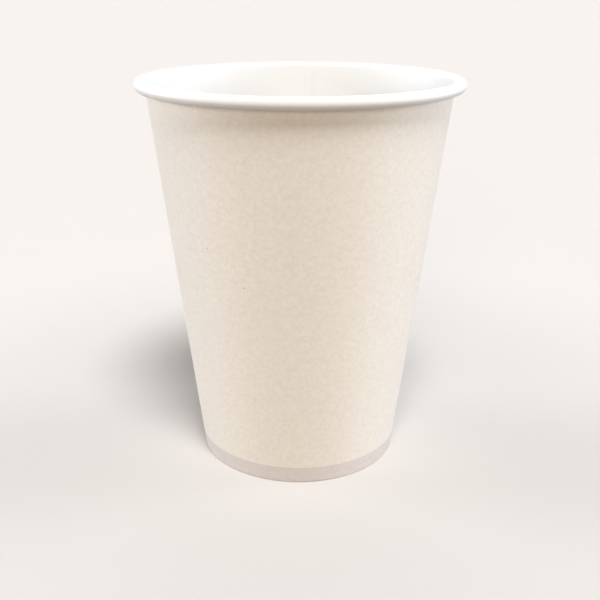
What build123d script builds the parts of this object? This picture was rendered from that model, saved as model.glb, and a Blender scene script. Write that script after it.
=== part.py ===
from build123d import *
import math
import os

# A single-wall paper cup, made of two pieces of coated board.
# The wall is one sheet wrapped into a cone and lapped at the back. Its upper edge is curled outwards into
# the rolled rim, and its lower edge is folded in and up around the skirt of the bottom disc.
# The origin is the centre of the standing edge, +Z points up along the cup's axis, and the seam is at +Y.

# Driving dimensions, in millimetres
RIM_DIAMETER = 90.0  # outside, over the rolled rim
BASE_DIAMETER = 58.0  # outside, at the standing edge
CUP_HEIGHT = 110.0  # standing edge to the top of the rolled rim
WALL_BOARD = 0.35  # thickness of the wall's board
DISC_BOARD = 0.30  # thickness of the bottom disc's board
RIM_ROLL_DIAMETER = 3.2  # section of the rolled rim
RIM_EDGE_GAP = 0.15  # between the rim's tucked edge and the wall
BASE_RECESS = 5.0  # standing edge up to the floor inside the cup
STANDING_FLAT = 0.44  # width of the flat that the folded lower edge stands on
DISC_CORNER_RADIUS = 0.8  # outside radius of the bend between the disc and its skirt
SKIRT_CLEARANCE = 0.15  # between the skirt's lower edge and the fold
HEM_CLEARANCE = 0.3  # between the hem's upper edge and the disc's bend
SEAL_FILM = 0.02  # melted coating that bonds the skirt on both sides
SEAM_OVERLAP = 7.0  # width of the side seam
SEAM_RAMP = 2.5  # run over which the upper layer climbs onto the lower one

# The rolled rim: the board bends about one centre, with its inside face on the larger circle
roll_outer = RIM_ROLL_DIAMETER / 2
roll_inner = roll_outer - WALL_BOARD
roll_r = RIM_DIAMETER / 2 - roll_outer
roll_z = CUP_HEIGHT - roll_outer

# The wall's outside face runs from the standing edge and meets the roll's smaller circle as a tangent
base_r = BASE_DIAMETER / 2
base_to_roll = math.hypot(roll_r - base_r, roll_z)
lean = math.atan2(roll_r - base_r, roll_z) - math.asin(roll_inner / base_to_roll)

# Depths of the layers at the base, measured square to the wall from its outside face
skirt_outside = WALL_BOARD + SEAL_FILM
skirt_inside = skirt_outside + DISC_BOARD
hem_outside = skirt_inside + SEAL_FILM
hem_inside = hem_outside + WALL_BOARD

# The fold's two bends take up what the flat leaves of the fold's width
fold_radius = (hem_inside - STANDING_FLAT * math.cos(lean)) / 2

# The side seam, measured sideways from its middle
seam_half = SEAM_OVERLAP / 2
ramp_end = seam_half + SEAM_RAMP

# Heights that follow from the pieces
skirt_bottom = WALL_BOARD + SKIRT_CLEARANCE
hem_top = BASE_RECESS - DISC_CORNER_RADIUS - HEM_CLEARANCE
seam_bottom = fold_radius
seam_top = CUP_HEIGHT - RIM_ROLL_DIAMETER - RIM_EDGE_GAP
step_bottom = BASE_RECESS
step_top = seam_top - WALL_BOARD


def wall_r(z, depth):
    """Radius at height z of the cone that lies depth inside the wall's outside face."""
    return base_r + z * math.tan(lean) - depth / math.cos(lean)


def section_point(z, depth):
    """Point of the section, as radius and height, on the cone that lies depth inside the wall."""
    return (wall_r(z, depth), z)


def turned(section):
    """A section drawn as radius and height, turned once round the cup's axis."""
    return revolve(Plane.XZ * section, Axis.Z)


def wall_section():
    """The board's section: hem, fold, wall and rolled rim, with its edge tucked against the wall."""
    wall_side = 180 - math.degrees(lean)
    tucked_angle = math.degrees(math.acos((roll_inner - RIM_EDGE_GAP) / roll_outer))
    curl = 360 - tucked_angle
    inner_curl = CenterArc((roll_r, roll_z), roll_inner, wall_side, -curl)
    outer_curl = CenterArc((roll_r, roll_z), roll_outer, wall_side, -curl)
    wall_and_hem = Polyline(
        outer_curl @ 0,
        section_point(WALL_BOARD, WALL_BOARD),
        section_point(WALL_BOARD, hem_outside),
        section_point(hem_top, hem_outside),
        section_point(hem_top, hem_inside),
        section_point(0, hem_inside),
        section_point(0, 0),
        inner_curl @ 0,
    )
    rim_edge = Line(inner_curl @ 1, outer_curl @ 1)
    section = make_face([inner_curl, outer_curl, wall_and_hem, rim_edge])
    return fillet(section.vertices().group_by(Axis.Y)[0], fold_radius)


def seam_point(x, z, depth):
    """Point at the back, x beside the seam's middle, on the cone that lies depth inside the wall."""
    return (x, math.sqrt(wall_r(z, depth) ** 2 - x**2), z)


def lap_outline(z):
    """Level section of the seam's upper layer: a cut edge at one side, a ramp at the other."""
    buried = WALL_BOARD / 2
    upper_face = ThreePointArc(*[seam_point(x, z, -WALL_BOARD) for x in (-seam_half, 0, seam_half)])
    buried_face = ThreePointArc(*[seam_point(x, z, buried) for x in (-seam_half, 0, ramp_end)])
    cut_edge = Line(upper_face @ 0, buried_face @ 0)
    ramp = Polyline(upper_face @ 1, seam_point(ramp_end, z, 0), buried_face @ 1)
    return make_face([upper_face, buried_face, cut_edge, ramp])


def step_outline(z):
    """Level section of the space beside the lower layer's cut edge, inside the cup."""
    clear_of_wall = 2 * WALL_BOARD
    outline = Polyline(
        seam_point(seam_half, z, 0),
        seam_point(ramp_end, z, WALL_BOARD),
        seam_point(ramp_end, z, clear_of_wall),
        seam_point(seam_half, z, clear_of_wall),
        close=True,
    )
    return make_face(outline)


def cup_wall():
    """The wall: one sheet of board with its rolled rim, side seam and folded lower edge."""
    lap = loft([lap_outline(z) for z in (seam_bottom, seam_top)], ruled=True)
    step = loft([step_outline(z) for z in (step_bottom, step_top)], ruled=True)
    return turned(wall_section()) + lap - step


def bottom_disc():
    """The bottom: a disc of board with its edge turned down into a skirt, which the wall's fold holds."""
    underside = BASE_RECESS - DISC_BOARD
    upper_face = FilletPolyline(
        (0, BASE_RECESS),
        section_point(BASE_RECESS, skirt_outside),
        section_point(skirt_bottom, skirt_outside),
        radius=DISC_CORNER_RADIUS,
    )
    lower_face = FilletPolyline(
        (0, underside),
        section_point(underside, skirt_inside),
        section_point(skirt_bottom, skirt_inside),
        radius=DISC_CORNER_RADIUS - DISC_BOARD,
    )
    middle = Line(upper_face @ 0, lower_face @ 0)
    skirt_edge = Line(upper_face @ 1, lower_face @ 1)
    section = make_face([upper_face, lower_face, middle, skirt_edge])
    return turned(section)


os.makedirs("parts", exist_ok=True)
for name, piece in {"cup_wall": cup_wall(), "bottom_disc": bottom_disc()}.items():
    export_step(piece, f"parts/{name}.step")
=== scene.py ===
import math
from typing import NamedTuple

import bpy
import numpy as np
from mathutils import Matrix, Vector


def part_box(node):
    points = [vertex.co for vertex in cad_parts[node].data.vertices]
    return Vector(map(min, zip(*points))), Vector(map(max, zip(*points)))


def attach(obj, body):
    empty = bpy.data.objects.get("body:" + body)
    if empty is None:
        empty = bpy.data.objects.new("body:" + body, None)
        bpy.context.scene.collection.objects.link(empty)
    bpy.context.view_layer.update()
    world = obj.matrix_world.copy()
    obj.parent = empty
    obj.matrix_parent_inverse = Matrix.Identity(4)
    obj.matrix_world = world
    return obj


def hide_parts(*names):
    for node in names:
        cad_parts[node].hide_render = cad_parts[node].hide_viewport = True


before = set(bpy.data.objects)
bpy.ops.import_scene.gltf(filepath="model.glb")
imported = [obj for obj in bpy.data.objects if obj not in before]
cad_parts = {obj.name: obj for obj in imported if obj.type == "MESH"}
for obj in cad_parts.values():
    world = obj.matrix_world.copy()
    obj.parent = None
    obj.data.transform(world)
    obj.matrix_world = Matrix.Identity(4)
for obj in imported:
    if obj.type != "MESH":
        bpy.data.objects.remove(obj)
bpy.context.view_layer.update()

bl_info = {
    "name": "Paper Cup",
    "version": (1, 0, 0),
    "blender": (4, 5, 0),
    "location": "View3D > Sidebar > Paper Cup",
    "description": "Dresses a rolled-rim paper cup and sets it on a plain studio floor",
    "category": "Add Mesh",
}

MILLIMETRE = 0.001

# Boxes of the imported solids
WALL_LOW, WALL_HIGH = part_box("cup_wall")
WALL_WIDTH = WALL_HIGH.x - WALL_LOW.x
DISC_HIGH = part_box("bottom_disc")[1]

# The side seam is at the back of the cup
SEAM_ANGLE = math.pi / 2

# Rows of the wall's grid on each stretch of its section, and the rows at which the stretches start
HEM_ROWS = 8
FOLD_ROWS = 28
WALL_ROWS = 28
CURL_ROWS = 56
FOLD_START = HEM_ROWS - 1
WALL_START = FOLD_START + FOLD_ROWS - 1
CURL_START = WALL_START + WALL_ROWS - 1

# Rows of the curl, from its start, over which the seam's layers come apart again
CURL_PRESSED_ROWS = CURL_ROWS / 5

# Columns of the wall's grid at the sheet's lower end, in its middle and at its upper end, and the shares of
# the sheet's length between which the middle lies
LOWER_END_COLUMNS = 30
MIDDLE_COLUMNS = 260
UPPER_END_COLUMNS = 70
MIDDLE_START = 0.06
MIDDLE_END = 0.935

# Rows of the disc's grid on each stretch of its section, and its columns
PLATE_ROWS = 24
CORNER_ROWS = 13
SKIRT_ROWS = 6
DISC_COLUMNS = 240

# Points on a bend of the fold, and the angle between faces from which an edge is sharp
BEND_POINTS = 33
SHARP_ANGLE = math.radians(40)

# Slots of the board's finishes on a mesh
OUTSIDE, LINING, RAW_EDGE = 0, 1, 2

# The board's pulp: sizes of its patterns, and the part of the noise that its clouds span
CLOUDS_PER_METRE = 850.0
FIBRES_PER_METRE = 2600.0
CLOUD_RANGE = (0.36, 0.64)

# Specks of bark: the cells that may hold one, the range of a cell's random value over which one appears, and
# a speck's radius in cells, from its faint edge to its dark middle
SPECK_CELLS_PER_METRE = 170.0
SPECK_DRAWS = (0.5, 0.51)
SPECK_RADIUS = (0.035, 0.02)

# Values that all finishes of the board share
ROUGHNESS_SPREAD = 0.05
RELIEF_DEPTH = 0.03 * MILLIMETRE
BOARD_SPECULAR = 0.35

# How far above and below the level of the bottom disc the painted shade of the band fades, where the disc
# backs the board and no light comes through it
BAND_BLUR = 0.15 * MILLIMETRE

# Floor, in metres: its size, and the distances from the cup between which its colour changes from the painted
# shade near the cup to its plain colour
FLOOR_RADIUS = 40.0
FLOOR_SIDES = 96
FLOOR_NEAR = 0.03
FLOOR_FAR = 0.2

# Colours of the light
WHITE_LIGHT = (1.0, 1.0, 1.0)
COOL_LIGHT = (0.895, 0.94, 1.0)
WARM_LIGHT = (1.0, 0.845, 0.66)
WORLD_LIGHT = (1.0, 0.99, 0.98)
WORLD_STRENGTH = 0.055

# Camera: place and nearest distance seen in metres, sensor and lens in millimetres, and shift as a share of
# the picture's width
CAMERA_PLACE = (-0.0030, -0.2457, 0.1356)
CAMERA_PITCH = math.radians(20.29)
CAMERA_SENSOR = 36.0
CAMERA_LENS = 52.56
CAMERA_SHIFT = 0.0188
CAMERA_CLIP = 0.01

# Space between nodes in the editor
NODE_STEP = 220.0


# Sizes and colours that a user may change


def length(name, description, millimetres):
    """A size, shown in the scene's units."""
    return bpy.props.FloatProperty(
        name=name,
        description=description,
        default=millimetres * MILLIMETRE,
        min=0.0,
        precision=5,
        unit="LENGTH",
    )


def colour(name, description, red, green, blue):
    """A colour, in linear light."""
    return bpy.props.FloatVectorProperty(
        name=name,
        description=description,
        default=(red, green, blue),
        min=0.0,
        max=1.0,
        subtype="COLOR",
    )


class CupSizes(bpy.types.PropertyGroup):
    """Sizes of the cup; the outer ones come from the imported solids."""

    rim_diameter: length("Rim diameter", "Outside, over the rolled rim", WALL_WIDTH / MILLIMETRE)
    cup_height: length("Height", "Standing edge to the top of the rim", WALL_HIGH.z / MILLIMETRE)
    floor_height: length("Floor height", "Standing edge up to the floor inside", DISC_HIGH.z / MILLIMETRE)
    base_diameter: length("Base diameter", "Outside, at the standing edge", 58.0)
    wall_board: length("Wall board", "Thickness of the wall's board", 0.35)
    disc_board: length("Disc board", "Thickness of the bottom disc's board", 0.30)
    rim_roll: length("Rim roll", "Section of the rolled rim", 3.2)
    rim_edge_gap: length("Rim edge gap", "Between the rim's tucked edge and the wall", 0.15)
    standing_flat: length("Standing flat", "Width of the flat of the folded lower edge", 0.44)
    disc_corner: length("Disc corner", "Outside radius of the bend of the disc's skirt", 0.8)
    skirt_clearance: length("Skirt clearance", "Between the skirt's lower edge and the fold", 0.15)
    hem_clearance: length("Hem clearance", "Between the hem's upper edge and the disc's bend", 0.3)
    seal_film: length("Seal film", "Melted coating in the seals", 0.02)
    seam_overlap: length("Seam overlap", "Width of the side seam", 7.0)
    seam_ramp: length("Seam ramp", "Run over which the upper layer climbs onto the lower one", 2.5)
    disc_dish: length("Disc dish", "How far the bottom disc sags in the middle", 0.35)


class CupColours(bpy.types.PropertyGroup):
    """Colours of the board and of the stage."""

    board: colour("Board", "Outside of the board", 0.955, 0.915, 0.855)
    board_shade: colour("Board shade", "Denser patches of the board", 0.87, 0.825, 0.762)
    lining: colour("Lining", "Coated inside of the board", 0.877, 0.881, 0.883)
    lining_shade: colour("Lining shade", "Denser patches under the coating", 0.857, 0.86, 0.86)
    # Painted shade: the band at the cup's foot is darker because no light comes through the board where the
    # disc backs it
    band_shade: colour("Band shade", "Tint of the board where the bottom disc backs it", 0.835, 0.825, 0.87)
    raw_edge: colour("Raw edge", "Cut edge of the board", 0.80, 0.72, 0.60)
    raw_edge_shade: colour("Raw edge shade", "Darker fibres of the cut edge", 0.66, 0.57, 0.45)
    fleck: colour("Fleck", "Specks of bark in the board", 0.34, 0.25, 0.17)
    floor: colour("Floor", "Studio floor as it is seen", 0.825, 0.791, 0.768)
    # Painted shade: the floor is seen darker near the cup, against the light that the cup sends onto it
    floor_near_shade: colour("Floor shade near the cup", "Studio floor as it is seen near the cup", 0.664, 0.641, 0.625)
    floor_bounce: colour("Floor bounce", "Studio floor as it lights the cup", 0.275, 0.237, 0.207)
    backdrop: colour("Backdrop", "What is seen beyond the floor", 0.94, 0.897, 0.863)


# Lines of a section, as arrays of radius and height


class LayerDepths(NamedTuple):
    """Depths of the faces behind the wall's foot, square to the wall from its outside face."""

    skirt_outside: float
    skirt_inside: float
    hem_outside: float
    hem_inside: float


def layer_depths(sizes):
    """The disc's skirt lies on the wall and the hem on the skirt, each on a seal film."""
    skirt_outside = sizes.wall_board + sizes.seal_film
    skirt_inside = skirt_outside + sizes.disc_board
    hem_outside = skirt_inside + sizes.seal_film
    return LayerDepths(skirt_outside, skirt_inside, hem_outside, hem_outside + sizes.wall_board)


def wall_lean(sizes):
    """Angle of the wall from upright: the outside face runs from the base's edge as a tangent to the curl."""
    curl_outer = sizes.rim_roll / 2
    across = sizes.rim_diameter / 2 - curl_outer - sizes.base_diameter / 2
    up = sizes.cup_height - curl_outer
    return math.atan2(across, up) - math.asin((curl_outer - sizes.wall_board) / math.hypot(across, up))


def on_cone(sizes, z, depth):
    """Point at height z on the cone that lies depth inside the wall's outside face."""
    lean = wall_lean(sizes)
    return sizes.base_diameter / 2 + z * math.tan(lean) - depth / math.cos(lean), z


def arc(centre, radius, start, end, count):
    """Points on a circle: centre plus radius times the cosine and sine of angles from start to end."""
    angles = np.linspace(start, end, count)
    return np.column_stack([centre[0] + radius * np.cos(angles), centre[1] + radius * np.sin(angles)])


def evenly_spaced(points, count):
    """The same line through count points, at equal steps of the distance run along it."""
    points = np.asarray(points, float)
    run = np.concatenate([[0.0], np.cumsum(np.hypot(*np.diff(points, axis=0).T))])
    stops = np.linspace(0.0, run[-1], count)
    return np.column_stack([np.interp(stops, run, points[:, 0]), np.interp(stops, run, points[:, 1])])


def smooth(x):
    """Rises from 0 to 1 with level ends: 3 x squared minus 2 x cubed, with x held between 0 and 1."""
    x = np.clip(x, 0.0, 1.0)
    return x * x * (3.0 - 2.0 * x)


# The wall


def fold_bends(sizes):
    """The fold's outside face: two arcs that leave the standing flat between them.

    Each arc touches the standing plane and one cone. Its centre lies above the plane by the radius, and
    beside the edge where the two meet by the radius times the tangent of half the arc's angle.
    """
    lean = wall_lean(sizes)
    hem_inside = layer_depths(sizes).hem_inside
    radius = (hem_inside - sizes.standing_flat * math.cos(lean)) / 2
    hem_centre = (on_cone(sizes, 0.0, hem_inside)[0] + radius * math.tan(math.pi / 4 + lean / 2), radius)
    wall_centre = (on_cone(sizes, 0.0, 0.0)[0] - radius * math.tan(math.pi / 4 - lean / 2), radius)
    straight_down = 1.5 * math.pi
    hem_bend = arc(hem_centre, radius, math.pi - lean, straight_down, BEND_POINTS)
    wall_bend = arc(wall_centre, radius, straight_down, math.tau - lean, BEND_POINTS)
    return np.concatenate([hem_bend, wall_bend])


def curl_arcs(sizes):
    """The curl's outside and inside faces: circles about one centre, from the wall to the tucked edge."""
    lean = wall_lean(sizes)
    larger = sizes.rim_roll / 2
    smaller = larger - sizes.wall_board
    centre = (sizes.rim_diameter / 2 - larger, sizes.cup_height - larger)
    start = math.pi - lean
    end = math.acos((smaller - sizes.rim_edge_gap) / larger) - math.pi - lean
    return [arc(centre, radius, start, end, CURL_ROWS) for radius in (smaller, larger)]


def wall_faces(sizes):
    """The board's outside and inside faces as matching rows.

    Both run down the hem, round the fold, up the wall and round the curl. Points of one row lie square to the
    board: on the wall the outside's is lower, and on the hem higher, by the board times the sine of the lean.
    """
    board = sizes.wall_board
    depths = layer_depths(sizes)
    hem_top = sizes.floor_height - sizes.disc_corner - sizes.hem_clearance
    fold_top = 2 * board
    rise = board * math.sin(wall_lean(sizes))
    hem_foot = on_cone(sizes, fold_top + rise, depths.hem_inside)
    wall_foot = on_cone(sizes, fold_top - rise, 0.0)
    pocket = [
        on_cone(sizes, fold_top, depths.hem_outside),
        on_cone(sizes, board, depths.hem_outside),
        on_cone(sizes, board, board),
        on_cone(sizes, fold_top, board),
    ]
    curl_outside, curl_inside = curl_arcs(sizes)
    outside = np.concatenate([
        evenly_spaced([on_cone(sizes, hem_top, depths.hem_inside), hem_foot], HEM_ROWS)[:-1],
        evenly_spaced([hem_foot, *fold_bends(sizes), wall_foot], FOLD_ROWS),
        evenly_spaced([wall_foot, curl_outside[0]], WALL_ROWS)[1:-1],
        curl_outside,
    ])
    inside = np.concatenate([
        evenly_spaced([on_cone(sizes, hem_top, depths.hem_outside), pocket[0]], HEM_ROWS)[:-1],
        evenly_spaced(pocket, FOLD_ROWS),
        evenly_spaced([pocket[-1], curl_inside[0]], WALL_ROWS)[1:-1],
        curl_inside,
    ])
    return outside, inside


def upper_layer_share():
    """How far the seam's upper layer stands out at each row of the wall, from 0 to 1, in straight ramps.

    It stands out on the hem, the wall and the curl. At the fold and beside the rim's tucked edge it can't.
    """
    rows_and_shares = (
        (0, 1.0),
        (FOLD_START, 0.0),
        (WALL_START, 0.0),
        (WALL_START + 1, 1.0),
        (CURL_START - 2, 1.0),
        (CURL_START - 1, 0.0),
        (CURL_START + CURL_PRESSED_ROWS, 1.0),
    )
    return np.interp(np.arange(CURL_START + CURL_ROWS), *zip(*rows_and_shares))


def sheet_shares():
    """Shares of the sheet's length at which its columns stand, closer together at its two lapped ends."""
    return np.concatenate([
        np.linspace(0.0, MIDDLE_START, LOWER_END_COLUMNS)[:-1],
        np.linspace(MIDDLE_START, MIDDLE_END, MIDDLE_COLUMNS)[:-1],
        np.linspace(MIDDLE_END, 1.0, UPPER_END_COLUMNS),
    ])


def lapped_sheet(sizes):
    """Points of the wall on a grid of columns round the cup and rows round the board's section.

    A column at share s of the sheet stands at the angle of the seam's middle, minus half the overlap, plus
    s times a full turn and one overlap, so the sheet's two ends lie over each other at the back. Where the
    upper end meets the lower one, it climbs over the ramp by the thickness of the board and the seal film,
    square to the board. Where it can't stand out, the upper end's inside face and the lower end's outside
    face each move by half of that, so the two ends share the thickness of one board.
    """
    outside, inside = wall_faces(sizes)
    across = outside - inside
    radius = (outside[:, 0] + inside[:, 0]) / 2
    share = sheet_shares()[:, None]
    half_angle = sizes.seam_overlap / 2 / radius
    turn = math.tau + 2 * half_angle
    angle = SEAM_ANGLE - half_angle + share * turn
    to_start = share * turn * radius
    to_end = (1 - share) * turn * radius
    climbs = 1 - smooth((to_end - sizes.seam_overlap) / sizes.seam_ramp)
    gives_way = 1 - smooth((to_start - sizes.seam_overlap) / sizes.seam_ramp)
    layer = 1 + sizes.seal_film / sizes.wall_board
    stands = layer * upper_layer_share()
    pressed = (layer - stands) / 2
    outside_step = stands * climbs - pressed * gives_way
    inside_step = (stands + pressed) * climbs
    faces = []
    for face, step in ((outside, outside_step), (inside, inside_step)):
        r = face[:, 0] + step * across[:, 0]
        z = face[:, 1] + step * across[:, 1]
        faces.append(np.stack([r * np.cos(angle), r * np.sin(angle), z], axis=-1))
    return np.concatenate([faces[0], faces[1][:, ::-1]], axis=1)


def make_wall(sizes, finishes):
    """The wall's grid as a closed mesh: quads between columns and rows, and a strip of quads on each end."""
    points = lapped_sheet(sizes)
    columns, around = points.shape[:2]
    rows = around // 2
    index = np.arange(columns * around).reshape(columns, around)
    ahead = np.roll(index, -1, axis=1)
    sides = np.stack([index[:-1], index[1:], ahead[1:], ahead[:-1]], axis=-1).reshape(-1, 4)
    finish = np.full(around, OUTSIDE)
    finish[rows:] = LINING
    finish[[rows - 1, around - 1]] = RAW_EDGE
    outer, inner = index[:, :rows], index[:, :rows - 1:-1]
    start = np.stack([outer[0, :-1], outer[0, 1:], inner[0, 1:], inner[0, :-1]], axis=-1)
    end = np.stack([outer[-1, 1:], outer[-1, :-1], inner[-1, :-1], inner[-1, 1:]], axis=-1)
    faces = np.concatenate([sides, start, end])
    finish_of_face = np.concatenate([np.tile(finish, columns - 1), np.full(len(start) + len(end), RAW_EDGE)])
    return make_piece("cup_wall_sheet", points.reshape(-1, 3), faces.tolist(), finishes, finish_of_face)


# The bottom disc


def disc_sides(sizes):
    """The disc's upper side, from the middle to the skirt's edge, and its lower side, from there back.

    Each is a plate, a round corner about the same centre and the skirt. The plate sags by the dish times one
    minus the square of the share of its radius.
    """
    lean = wall_lean(sizes)
    depths = layer_depths(sizes)
    top = sizes.floor_height
    below = top - sizes.disc_board
    skirt_bottom = sizes.wall_board + sizes.skirt_clearance
    larger = sizes.disc_corner
    smaller = larger - sizes.disc_board
    plate_r = on_cone(sizes, top, depths.skirt_outside)[0] - larger * math.tan(math.pi / 4 + lean / 2)
    corner = (plate_r, top - larger)
    corner_above = arc(corner, larger, math.pi / 2, -lean, CORNER_ROWS)
    corner_below = arc(corner, smaller, -lean, math.pi / 2, CORNER_ROWS)
    edge_above = on_cone(sizes, skirt_bottom, depths.skirt_outside)
    edge_below = on_cone(sizes, skirt_bottom, depths.skirt_inside)
    skirt_above = evenly_spaced([corner_above[-1], edge_above], SKIRT_ROWS)
    skirt_below = evenly_spaced([edge_below, corner_below[0]], SKIRT_ROWS)
    plate = np.linspace(0.0, plate_r, PLATE_ROWS)[:-1]
    plate_above = np.column_stack([plate, np.full_like(plate, top)])
    plate_below = np.column_stack([plate[::-1], np.full_like(plate, below)])
    upper = np.concatenate([plate_above, corner_above, skirt_above[1:]])
    lower = np.concatenate([skirt_below[:-1], corner_below, plate_below])
    for side in (upper, lower):
        side[:, 1] -= sizes.disc_dish * np.clip(1 - (side[:, 0] / plate_r) ** 2, 0.0, 1.0)
    return upper, lower


def make_disc(sizes, finishes):
    """The disc's section turned round the axis, with one point in the middle of each side."""
    upper, lower = disc_sides(sizes)
    r, z = np.concatenate([upper[1:], lower[:-1]]).T
    rows = len(r)
    angle = np.linspace(0.0, math.tau, DISC_COLUMNS, endpoint=False)[:, None]
    height = np.broadcast_to(z, (DISC_COLUMNS, rows))
    rings = np.stack([r * np.cos(angle), r * np.sin(angle), height], axis=-1).reshape(-1, 3)
    middles = [[0.0, 0.0, upper[0, 1]], [0.0, 0.0, lower[-1, 1]]]
    index = np.arange(DISC_COLUMNS * rows).reshape(DISC_COLUMNS, rows)
    beside = np.roll(index, -1, axis=0)
    quads = np.stack([index[:, :-1], index[:, 1:], beside[:, 1:], beside[:, :-1]], axis=-1).reshape(-1, 4)
    top_middle, bottom_middle = len(rings), len(rings) + 1
    upper_fan = np.column_stack([np.full(DISC_COLUMNS, top_middle), index[:, 0], beside[:, 0]])
    lower_fan = np.column_stack([np.full(DISC_COLUMNS, bottom_middle), beside[:, -1], index[:, -1]])
    upper_strips, lower_strips = len(upper) - 2, len(lower) - 2
    strip_finish = [LINING] * upper_strips + [RAW_EDGE] + [OUTSIDE] * lower_strips
    fan_finish = np.repeat([LINING, OUTSIDE], DISC_COLUMNS)
    return make_piece(
        "bottom_disc_board",
        np.concatenate([rings, middles]),
        quads.tolist() + upper_fan.tolist() + lower_fan.tolist(),
        finishes,
        np.concatenate([np.tile(strip_finish, DISC_COLUMNS), fan_finish]),
    )


# Meshes and objects


def add_object(name, data):
    """A new object at the origin, in the scene."""
    holder = bpy.data.objects.new(name, data)
    bpy.context.scene.collection.objects.link(holder)
    return holder


def make_piece(name, points, faces, finishes, finish_of_face):
    """A mesh object from arrays of points and faces, smooth except at the board's cut edges."""
    mesh = bpy.data.meshes.new(name)
    mesh.from_pydata(points.tolist(), [], faces)
    for finish in finishes:
        mesh.materials.append(finish)
    mesh.polygons.foreach_set("material_index", np.asarray(finish_of_face, np.int32))
    mesh.shade_smooth()
    mesh.set_sharp_from_angle(angle=SHARP_ANGLE)
    mesh.validate()
    mesh.update()
    return add_object(name, mesh)


# Nodes


def set_input(tree, socket, value):
    """Links the socket where value is a socket too, and otherwise sets it to that value."""
    if isinstance(value, bpy.types.NodeSocket):
        tree.links.new(value, socket)
    else:
        socket.default_value = value


def add_node(tree, kind, inputs=None, **settings):
    """A node one step to the right of the last one, with its inputs set or linked."""
    node = tree.nodes.new(kind)
    node.location.x = NODE_STEP * len(tree.nodes)
    for name, value in settings.items():
        setattr(node, name, value)
    for name, value in (inputs or {}).items():
        set_input(tree, node.inputs[name], value)
    return node


def map_range(tree, value, start, end, **settings):
    """A value that rises from 0 to 1 while the given one goes from start to end, and is held beyond them."""
    inputs = {"Value": value, "From Min": start, "From Max": end}
    return add_node(tree, "ShaderNodeMapRange", inputs, **settings).outputs["Result"]


def combine(tree, operation, first, second):
    """Two values put together by a maths operation."""
    return add_node(tree, "ShaderNodeMath", {0: first, 1: second}, operation=operation).outputs["Value"]


def mix_colour(tree, factor, first, second, blend_type="MIX"):
    """A blend of two colours, by a factor that changes over the surface."""
    node = add_node(tree, "ShaderNodeMix", data_type="RGBA", blend_type=blend_type)
    sockets = {socket.identifier: socket for socket in (*node.inputs, *node.outputs)}
    set_input(tree, sockets["Factor_Float"], factor)
    set_input(tree, sockets["A_Color"], first)
    set_input(tree, sockets["B_Color"], second)
    return sockets["Result_Color"]


def opaque(tint):
    """A colour with full alpha, as a socket takes it."""
    return (*tint, 1.0)


def empty_tree(owner):
    """The node tree of a material or a world, with no nodes in it."""
    owner.use_nodes = True
    owner.node_tree.nodes.clear()
    return owner.node_tree


# Finishes of the board


def board_fibres():
    """Node group: soft clouds of denser pulp, sparse specks of bark, and the height of the fibres."""
    name = "Board fibres"
    if name in bpy.data.node_groups:
        return bpy.data.node_groups[name]
    group = bpy.data.node_groups.new(name, "ShaderNodeTree")
    new_socket = group.interface.new_socket
    new_socket("Position", in_out="INPUT", socket_type="NodeSocketVector")
    for scale, default in (("Clouds per Metre", CLOUDS_PER_METRE), ("Fibres per Metre", FIBRES_PER_METRE)):
        socket = new_socket(scale, in_out="INPUT", socket_type="NodeSocketFloat")
        socket.default_value = default
    for shown in ("Cloud", "Fleck", "Height"):
        new_socket(shown, in_out="OUTPUT", socket_type="NodeSocketFloat")
    given = add_node(group, "NodeGroupInput").outputs
    clouds = add_node(group, "ShaderNodeTexNoise", {
        "Vector": given["Position"], "Scale": given["Clouds per Metre"], "Detail": 5.0, "Roughness": 0.8})
    cloud = map_range(group, clouds.outputs["Fac"], *CLOUD_RANGE)
    fibres = add_node(group, "ShaderNodeTexNoise", {
        "Vector": given["Position"], "Scale": given["Fibres per Metre"], "Detail": 3.0, "Roughness": 0.65,
        "Distortion": 1.5})
    cells = add_node(group, "ShaderNodeTexVoronoi", {
        "Vector": given["Position"], "Scale": SPECK_CELLS_PER_METRE})
    draw = add_node(group, "ShaderNodeSeparateColor", {"Color": cells.outputs["Color"]})
    chosen = map_range(group, draw.outputs["Red"], *SPECK_DRAWS)
    speck = map_range(group, cells.outputs["Distance"], *SPECK_RADIUS)
    add_node(group, "NodeGroupOutput", {
        "Cloud": cloud,
        "Fleck": combine(group, "MULTIPLY", chosen, speck),
        "Height": combine(group, "ADD", fibres.outputs["Fac"], cloud),
    })
    return group


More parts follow.
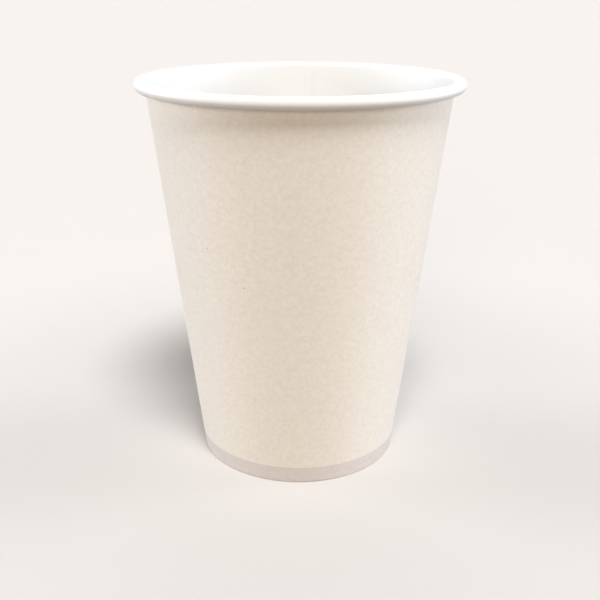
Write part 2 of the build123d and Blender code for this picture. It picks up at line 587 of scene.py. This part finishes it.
def board_finish(name, plain, shade, fleck, roughness, relief, band_shade=None, band_shade_below=0.0):
    """A finish of the board: its colour clouds towards the shade and carries specks of bark.

    Where the skirt of the bottom disc backs the board, below the given height, no light comes through the
    board, and that shade is
    painted: the colour there is multiplied by the given tint of the band.
    """
    material = bpy.data.materials.new(name)
    tree = empty_tree(material)
    position = add_node(tree, "ShaderNodeTexCoord").outputs["Object"]
    fibres = add_node(tree, "ShaderNodeGroup", node_tree=board_fibres())
    tree.links.new(position, fibres.inputs["Position"])
    tint = mix_colour(tree, fibres.outputs["Cloud"], opaque(plain), opaque(shade))
    tint = mix_colour(tree, fibres.outputs["Fleck"], tint, opaque(fleck))
    if band_shade is not None:
        # Painted shade: below the disc's level the board's colour is darkened, since no light comes through
        # the backed board
        height = add_node(tree, "ShaderNodeSeparateXYZ", {"Vector": position}).outputs["Z"]
        below = map_range(tree, height, band_shade_below + BAND_BLUR, band_shade_below - BAND_BLUR)
        tint = mix_colour(tree, below, tint, opaque(band_shade), blend_type="MULTIPLY")
    rough = add_node(tree, "ShaderNodeMapRange", {
        "Value": fibres.outputs["Cloud"],
        "To Min": roughness - ROUGHNESS_SPREAD,
        "To Max": roughness + ROUGHNESS_SPREAD,
    })
    bump = add_node(tree, "ShaderNodeBump", {
        "Height": fibres.outputs["Height"], "Strength": relief, "Distance": RELIEF_DEPTH})
    surface = add_node(tree, "ShaderNodeBsdfPrincipled", {
        "Base Color": tint,
        "Roughness": rough.outputs["Result"],
        "Normal": bump.outputs["Normal"],
        "Specular IOR Level": BOARD_SPECULAR,
    })
    add_node(tree, "ShaderNodeOutputMaterial", {"Surface": surface.outputs["BSDF"]})
    return material


def board_finishes(sizes, colours):
    """The board's three finishes in the order of their slots, made once for both pieces."""
    names = ("Board outside", "Board lining", "Board cut edge")
    if names[0] not in bpy.data.materials:
        outside, lining, cut_edge = names
        fleck = colours.fleck
        # The outside carries the painted shade of the band below the floor inside
        board_finish(outside, colours.board, colours.board_shade, fleck, roughness=0.68, relief=0.5,
                     band_shade=colours.band_shade, band_shade_below=sizes.floor_height)
        board_finish(lining, colours.lining, colours.lining_shade, fleck, roughness=0.52, relief=0.25)
        board_finish(cut_edge, colours.raw_edge, colours.raw_edge_shade, fleck, roughness=0.85, relief=0.8)
    return [bpy.data.materials[name] for name in names]


# Stage


def seen_rays(tree):
    """Value of 1 for rays that show the stage: straight to the camera, by reflection or through glass."""
    path = add_node(tree, "ShaderNodeLightPath").outputs
    mirrored = combine(tree, "MAXIMUM", path["Is Camera Ray"], path["Is Glossy Ray"])
    return combine(tree, "MAXIMUM", mirrored, path["Is Transmission Ray"])


def floor_finish(colours):
    """A plain matte floor with painted shade, a little darker near the cup, and darker again in the light
    that it sends back.
    """
    material = bpy.data.materials.new("Studio floor")
    tree = empty_tree(material)
    position = add_node(tree, "ShaderNodeTexCoord").outputs["Object"]
    distance = add_node(tree, "ShaderNodeVectorMath", {0: position}, operation="LENGTH").outputs["Value"]
    # Painted shade: the floor's colour is darker near the cup and fades out by the far distance
    far = map_range(tree, distance, FLOOR_NEAR, FLOOR_FAR, interpolation_type="SMOOTHSTEP")
    shown = mix_colour(tree, far, opaque(colours.floor_near_shade), opaque(colours.floor))
    tint = mix_colour(tree, seen_rays(tree), opaque(colours.floor_bounce), shown)
    surface = add_node(tree, "ShaderNodeBsdfPrincipled", {
        "Base Color": tint, "Roughness": 1.0, "Specular IOR Level": 0.0})
    add_node(tree, "ShaderNodeOutputMaterial", {"Surface": surface.outputs["BSDF"]})
    return material


def add_floor(colours):
    """A wide level floor: one polygon whose corners stand on a circle about the cup."""
    angle = np.linspace(0.0, math.tau, FLOOR_SIDES, endpoint=False)
    corners = FLOOR_RADIUS * np.column_stack([np.cos(angle), np.sin(angle), np.zeros_like(angle)])
    mesh = bpy.data.meshes.new("studio_floor")
    mesh.from_pydata(corners.tolist(), [], [list(range(FLOOR_SIDES))])
    mesh.materials.append(floor_finish(colours))
    floor = add_object("studio_floor", mesh)


def set_world(colours):
    """Faint even light from all round; the camera sees the backdrop's colour instead."""
    world = bpy.data.worlds.new("studio")
    bpy.context.scene.world = world
    tree = empty_tree(world)
    light = add_node(tree, "ShaderNodeBackground", {"Color": opaque(WORLD_LIGHT), "Strength": WORLD_STRENGTH})
    backdrop = add_node(tree, "ShaderNodeBackground", {"Color": opaque(colours.backdrop), "Strength": 1.0})
    shown = add_node(tree, "ShaderNodeMixShader", {
        0: seen_rays(tree), 1: light.outputs["Background"], 2: backdrop.outputs["Background"]})
    add_node(tree, "ShaderNodeOutputWorld", {"Surface": shown.outputs["Shader"]})


def add_sun(name, azimuth, elevation, strength, spread, tint):
    """A soft sun lamp, with angles in degrees; its azimuth is turned from the camera's side to the right."""
    lamp = bpy.data.lights.new(name, "SUN")
    lamp.energy = strength
    lamp.angle = math.radians(spread)
    lamp.color = tint
    turn, rise = math.radians(azimuth), math.radians(elevation)
    away = Vector((math.cos(rise) * math.sin(turn), -math.cos(rise) * math.cos(turn), math.sin(rise)))
    holder = add_object(name, lamp)
    holder.location = away
    holder.rotation_euler = away.to_track_quat("Z", "Y").to_euler()


def add_camera():
    """The camera in front of the cup, pitched down, its lens shifted as in a picture cropped to one side."""
    camera = bpy.data.cameras.new("camera")
    camera.sensor_width = CAMERA_SENSOR
    camera.lens = CAMERA_LENS
    camera.shift_x = CAMERA_SHIFT
    camera.clip_start = CAMERA_CLIP
    holder = add_object("camera", camera)
    holder.location = CAMERA_PLACE
    holder.rotation_euler = (math.pi / 2 - CAMERA_PITCH, 0.0, 0.0)
    bpy.context.scene.camera = holder


# Operators and panel


class PAPERCUP_OT_wall(bpy.types.Operator):
    """Build the lapped, rolled and folded wall in place of its solid"""

    bl_idname = "paper_cup.wall"
    bl_label = "Wall"

    def execute(self, context):
        scene = context.scene
        piece = make_wall(scene.cup_sizes, board_finishes(scene.cup_sizes, scene.cup_colours))
        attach(piece, "root")
        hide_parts("cup_wall")
        return {"FINISHED"}


class PAPERCUP_OT_bottom_disc(bpy.types.Operator):
    """Build the bottom disc and its skirt in place of its solid"""

    bl_idname = "paper_cup.bottom_disc"
    bl_label = "Bottom disc"

    def execute(self, context):
        scene = context.scene
        piece = make_disc(scene.cup_sizes, board_finishes(scene.cup_sizes, scene.cup_colours))
        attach(piece, "root")
        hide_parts("bottom_disc")
        return {"FINISHED"}


class PAPERCUP_OT_stage(bpy.types.Operator):
    """Set the floor, the lamps, the world and the camera"""

    bl_idname = "paper_cup.stage"
    bl_label = "Stage"

    def execute(self, context):
        scene = context.scene
        scene.view_settings.view_transform = "Standard"
        add_floor(scene.cup_colours)
        set_world(scene.cup_colours)
        add_sun("key_lamp", azimuth=12.0, elevation=62.5, strength=2.74, spread=22.0, tint=WHITE_LIGHT)
        add_sun("left_lamp", azimuth=-103.0, elevation=4.0, strength=3.15, spread=30.0, tint=COOL_LIGHT)
        add_sun("right_lamp", azimuth=100.0, elevation=4.0, strength=3.22, spread=30.0, tint=COOL_LIGHT)
        add_sun("fill_lamp", azimuth=-9.0, elevation=18.0, strength=1.04, spread=30.0, tint=WARM_LIGHT)
        add_sun("back_lamp", azimuth=180.0, elevation=8.0, strength=0.7, spread=40.0, tint=WHITE_LIGHT)
        add_camera()
        return {"FINISHED"}


class PAPERCUP_PT_panel(bpy.types.Panel):
    """Steps, sizes and colours of the paper cup"""

    bl_idname = "PAPERCUP_PT_panel"
    bl_label = "Paper Cup"
    bl_space_type = "VIEW_3D"
    bl_region_type = "UI"
    bl_category = "Paper Cup"

    def draw(self, context):
        layout = self.layout
        for step in (PAPERCUP_OT_wall, PAPERCUP_OT_bottom_disc, PAPERCUP_OT_stage):
            layout.operator(step.bl_idname)
        for group in (context.scene.cup_sizes, context.scene.cup_colours):
            column = layout.column()
            for name in type(group).__annotations__:
                column.prop(group, name)


CLASSES = (
    CupSizes, CupColours, PAPERCUP_OT_wall, PAPERCUP_OT_bottom_disc, PAPERCUP_OT_stage, PAPERCUP_PT_panel)


def register():
    """Make the classes known to Blender, and give the scene its sizes and colours."""
    for item in CLASSES:
        bpy.utils.register_class(item)
    bpy.types.Scene.cup_sizes = bpy.props.PointerProperty(type=CupSizes)
    bpy.types.Scene.cup_colours = bpy.props.PointerProperty(type=CupColours)


def unregister():
    """Take back what register did."""
    del bpy.types.Scene.cup_colours
    del bpy.types.Scene.cup_sizes
    for item in reversed(CLASSES):
        bpy.utils.unregister_class(item)


def main():
    """Build the cup and its stage."""
    register()
    bpy.ops.paper_cup.wall()
    bpy.ops.paper_cup.bottom_disc()
    bpy.ops.paper_cup.stage()


if __name__ == "__main__":
    main()
